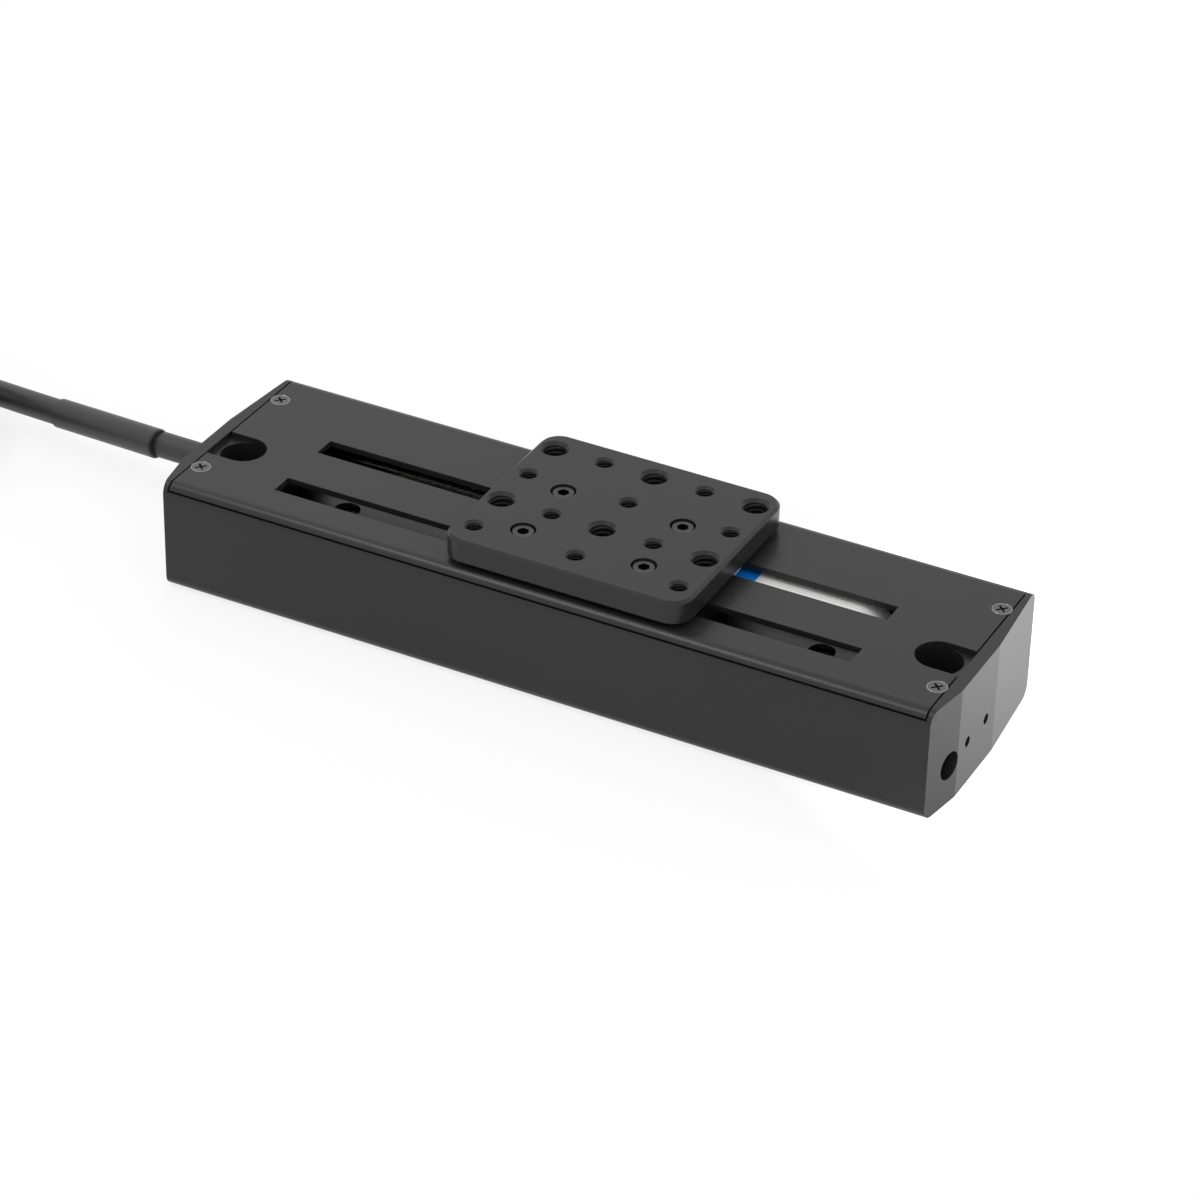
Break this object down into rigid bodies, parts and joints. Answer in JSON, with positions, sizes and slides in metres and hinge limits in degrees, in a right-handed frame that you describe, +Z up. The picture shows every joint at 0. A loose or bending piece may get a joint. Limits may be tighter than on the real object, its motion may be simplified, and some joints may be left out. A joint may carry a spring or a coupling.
{
  "type": "linear translation stage",
  "caption": "Low-profile motorised linear stage: a tapped platform rides through two cover slots on a guide rail, driven by a flat linear motor, with a trailing cable.",
  "frame": {"origin": "centre of the housing's lower face, on the breadboard", "axes": "+X along the travel towards the end without the cable, +Y to the rear, +Z up"},
  "size_m": [0.3445, 0.0897, 0.0344],
  "materials": {
    "anodised_body": "fine bead-blasted dark grey anodising",
    "anodised_cover": "satin dark grey anodising",
    "anodised_plate": "satin dark grey anodising",
    "black_screw": "black oxide",
    "rail_steel": "ground bearing steel",
    "block_steel": "ground steel",
    "end_cap_plastic": "moulded black",
    "seal_rubber": "matte",
    "yoke_steel": "nickel-plated steel",
    "magnet": "nickel-plated magnet",
    "coil_resin": "potting resin",
    "bracket_aluminium": "clear anodised",
    "board": "solder mask",
    "socket_plastic": "moulded",
    "ribbon": "white film",
    "stiffener": "blue film",
    "scale_steel": "scale tape",
    "head_plastic": "moulded black",
    "cable_jacket": "smooth black jacket",
    "tie_fabric": "hook-and-loop strap",
    "hood_plastic": "moulded hood",
    "shell_metal": "tinned steel"
  },
  "bodies": {
    "base": {"housing": "anodised_body", "top_cover": "anodised_cover", "cover_screws": "black_screw", "guide_rail": "rail_steel", "rail_screws": "black_screw", "motor_yoke": "yoke_steel", "lower_magnets": "magnet", "upper_magnets": "magnet", "ribbon_lower_run": "ribbon", "fixed_board": "board", "fixed_socket": "socket_plastic", "encoder_scale": "scale_steel", "sensor_board": "board", "home_sensor": "head_plastic", "sensor_screws": "shell_metal", "end_bumpers": "seal_rubber", "port_screw": "black_screw", "cable_boot": "cable_jacket", "cable": "cable_jacket", "cable_sleeve": "cable_jacket", "cable_coil": "cable_jacket", "coil_tie": "tie_fabric", "cable_tail": "cable_jacket", "cable_plug": "hood_plastic", "plug_shell": "shell_metal"},
    "carriage": {"bearing_block": "block_steel", "bearing_end_caps": "end_cap_plastic", "bearing_seals": "seal_rubber", "front_riser": "bracket_aluminium", "rear_riser": "bracket_aluminium", "platform": "anodised_plate", "platform_screws": "black_screw", "motor_coil": "coil_resin", "coil_bracket": "bracket_aluminium", "bracket_screws": "black_screw", "carriage_board": "board", "carriage_socket": "socket_plastic", "ribbon_tab": "stiffener", "ribbon_upper_run": "ribbon", "ribbon_bend": "ribbon", "read_head": "head_plastic"}
  },
  "joints": [
    {"name": "carriage_slide", "type": "slide", "parent": "base", "child": "carriage", "axis": [1, 0, 0], "range_m": [-0.0555, 0.0445], "deforming": ["ribbon_upper_run", "ribbon_bend", "ribbon_lower_run"]}
  ]
}
